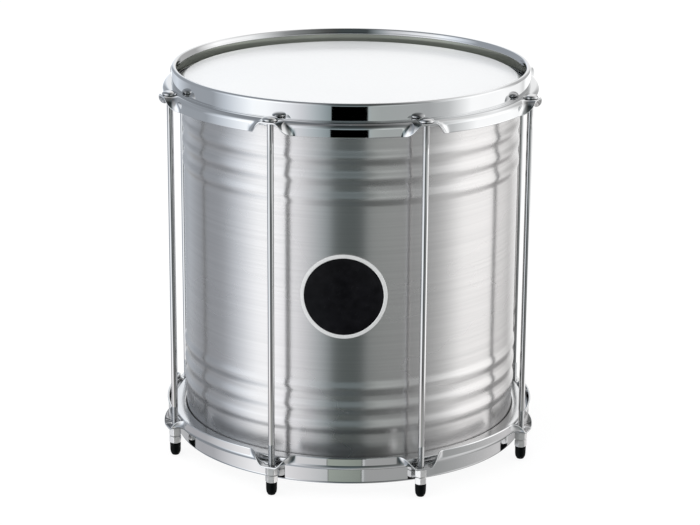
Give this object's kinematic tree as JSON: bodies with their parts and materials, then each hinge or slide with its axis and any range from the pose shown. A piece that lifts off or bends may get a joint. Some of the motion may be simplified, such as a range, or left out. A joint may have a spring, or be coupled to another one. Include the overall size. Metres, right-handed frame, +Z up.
{
  "type": "repinique",
  "caption": "Tall metal drum with a head at either end: a beaded shell held between chromed hoops by long rods, whose rubber-tipped ends carry it.",
  "frame": {"origin": "on the drum's axis, at the floor under the rubber tips", "axes": "+Z up along the drum's axis, -Y through the front of the drum, between rods 1 and 2 where the badge is"},
  "size_m": [0.341, 0.341, 0.3546],
  "materials": {
    "shell": "brushed round the shell, satin",
    "badge": "glossy black field in a silver rim",
    "hoop": "mirror bright",
    "film": "white, softly glossy",
    "flesh": "bright, smooth",
    "rod": "bright zinc, thread at the lower end",
    "nut": "nickel plate, slightly dull",
    "tip": "black, semi-matt"
  },
  "bodies": {
    "frame": {"top_hoop": "hoop", "top_flesh_hoop": "flesh", "tension_rod_1": "rod", "tension_rod_2": "rod", "tension_rod_3": "rod", "tension_rod_4": "rod", "tension_rod_5": "rod", "tension_rod_6": "rod", "tension_rod_7": "rod", "tension_rod_8": "rod", "rubber_tip_1": "tip", "rubber_tip_2": "tip", "rubber_tip_3": "tip", "rubber_tip_4": "tip", "rubber_tip_5": "tip", "rubber_tip_6": "tip", "rubber_tip_7": "tip", "rubber_tip_8": "tip"},
    "tension_hoop": {"bottom_hoop": "hoop", "bottom_flesh_hoop": "flesh"},
    "shell": {"shell": "shell", "badge": "badge", "top_head_film": "film", "bottom_head_film": "film"},
    "tension_nut_1": {"tension_nut_1": "nut"},
    "tension_nut_2": {"tension_nut_2": "nut"},
    "tension_nut_3": {"tension_nut_3": "nut"},
    "tension_nut_4": {"tension_nut_4": "nut"},
    "tension_nut_5": {"tension_nut_5": "nut"},
    "tension_nut_6": {"tension_nut_6": "nut"},
    "tension_nut_7": {"tension_nut_7": "nut"},
    "tension_nut_8": {"tension_nut_8": "nut"},
    "lock_nut_1": {"lock_nut_1": "nut"},
    "lock_nut_2": {"lock_nut_2": "nut"},
    "lock_nut_3": {"lock_nut_3": "nut"},
    "lock_nut_4": {"lock_nut_4": "nut"},
    "lock_nut_5": {"lock_nut_5": "nut"},
    "lock_nut_6": {"lock_nut_6": "nut"},
    "lock_nut_7": {"lock_nut_7": "nut"},
    "lock_nut_8": {"lock_nut_8": "nut"}
  },
  "joints": [
    {"name": "hoop_tension", "type": "slide", "parent": "frame", "child": "tension_hoop", "axis": [0, 0, 1], "range_m": [0, 0.004]},
    {"name": "shell_rise", "type": "slide", "parent": "frame", "child": "shell", "axis": [0, 0, 1], "range_m": [0, 0.002]},
    {"name": "tension_nut_1_turn", "type": "hinge", "parent": "tension_hoop", "child": "tension_nut_1", "pos_m": [-0.06571, -0.15863, 0.0227], "axis": [0, 0, 1], "range_deg": [0, 1440]},
    {"name": "tension_nut_2_turn", "type": "hinge", "parent": "tension_hoop", "child": "tension_nut_2", "pos_m": [0.06571, -0.15863, 0.0227], "axis": [0, 0, 1], "range_deg": [0, 1440]},
    {"name": "tension_nut_3_turn", "type": "hinge", "parent": "tension_hoop", "child": "tension_nut_3", "pos_m": [0.15863, -0.06571, 0.0227], "axis": [0, 0, 1], "range_deg": [0, 1440]},
    {"name": "tension_nut_4_turn", "type": "hinge", "parent": "tension_hoop", "child": "tension_nut_4", "pos_m": [0.15863, 0.06571, 0.0227], "axis": [0, 0, 1], "range_deg": [0, 1440]},
    {"name": "tension_nut_5_turn", "type": "hinge", "parent": "tension_hoop", "child": "tension_nut_5", "pos_m": [0.06571, 0.15863, 0.0227], "axis": [0, 0, 1], "range_deg": [0, 1440]},
    {"name": "tension_nut_6_turn", "type": "hinge", "parent": "tension_hoop", "child": "tension_nut_6", "pos_m": [-0.06571, 0.15863, 0.0227], "axis": [0, 0, 1], "range_deg": [0, 1440]},
    {"name": "tension_nut_7_turn", "type": "hinge", "parent": "tension_hoop", "child": "tension_nut_7", "pos_m": [-0.15863, 0.06571, 0.0227], "axis": [0, 0, 1], "range_deg": [0, 1440]},
    {"name": "tension_nut_8_turn", "type": "hinge", "parent": "tension_hoop", "child": "tension_nut_8", "pos_m": [-0.15863, -0.06571, 0.0227], "axis": [0, 0, 1], "range_deg": [0, 1440]},
    {"name": "lock_nut_1_turn", "type": "hinge", "parent": "tension_hoop", "child": "lock_nut_1", "pos_m": [-0.06571, -0.15863, 0.01525], "axis": [0, 0, 1], "range_deg": [0, 1440]},
    {"name": "lock_nut_2_turn", "type": "hinge", "parent": "tension_hoop", "child": "lock_nut_2", "pos_m": [0.06571, -0.15863, 0.01525], "axis": [0, 0, 1], "range_deg": [0, 1440]},
    {"name": "lock_nut_3_turn", "type": "hinge", "parent": "tension_hoop", "child": "lock_nut_3", "pos_m": [0.15863, -0.06571, 0.01525], "axis": [0, 0, 1], "range_deg": [0, 1440]},
    {"name": "lock_nut_4_turn", "type": "hinge", "parent": "tension_hoop", "child": "lock_nut_4", "pos_m": [0.15863, 0.06571, 0.01525], "axis": [0, 0, 1], "range_deg": [0, 1440]},
    {"name": "lock_nut_5_turn", "type": "hinge", "parent": "tension_hoop", "child": "lock_nut_5", "pos_m": [0.06571, 0.15863, 0.01525], "axis": [0, 0, 1], "range_deg": [0, 1440]},
    {"name": "lock_nut_6_turn", "type": "hinge", "parent": "tension_hoop", "child": "lock_nut_6", "pos_m": [-0.06571, 0.15863, 0.01525], "axis": [0, 0, 1], "range_deg": [0, 1440]},
    {"name": "lock_nut_7_turn", "type": "hinge", "parent": "tension_hoop", "child": "lock_nut_7", "pos_m": [-0.15863, 0.06571, 0.01525], "axis": [0, 0, 1], "range_deg": [0, 1440]},
    {"name": "lock_nut_8_turn", "type": "hinge", "parent": "tension_hoop", "child": "lock_nut_8", "pos_m": [-0.15863, -0.06571, 0.01525], "axis": [0, 0, 1], "range_deg": [0, 1440]}
  ],
  "couplings": [
    {"joint": "shell_rise", "follows": "hoop_tension", "ratio": 0.5},
    {"joint": "tension_nut_1_turn", "follows": "hoop_tension", "rad_per_m": 6283.2},
    {"joint": "tension_nut_2_turn", "follows": "hoop_tension", "rad_per_m": 6283.2},
    {"joint": "tension_nut_3_turn", "follows": "hoop_tension", "rad_per_m": 6283.2},
    {"joint": "tension_nut_4_turn", "follows": "hoop_tension", "rad_per_m": 6283.2},
    {"joint": "tension_nut_5_turn", "follows": "hoop_tension", "rad_per_m": 6283.2},
    {"joint": "tension_nut_6_turn", "follows": "hoop_tension", "rad_per_m": 6283.2},
    {"joint": "tension_nut_7_turn", "follows": "hoop_tension", "rad_per_m": 6283.2},
    {"joint": "tension_nut_8_turn", "follows": "hoop_tension", "rad_per_m": 6283.2},
    {"joint": "lock_nut_1_turn", "follows": "hoop_tension", "rad_per_m": 6283.2},
    {"joint": "lock_nut_2_turn", "follows": "hoop_tension", "rad_per_m": 6283.2},
    {"joint": "lock_nut_3_turn", "follows": "hoop_tension", "rad_per_m": 6283.2},
    {"joint": "lock_nut_4_turn", "follows": "hoop_tension", "rad_per_m": 6283.2},
    {"joint": "lock_nut_5_turn", "follows": "hoop_tension", "rad_per_m": 6283.2},
    {"joint": "lock_nut_6_turn", "follows": "hoop_tension", "rad_per_m": 6283.2},
    {"joint": "lock_nut_7_turn", "follows": "hoop_tension", "rad_per_m": 6283.2},
    {"joint": "lock_nut_8_turn", "follows": "hoop_tension", "rad_per_m": 6283.2}
  ]
}
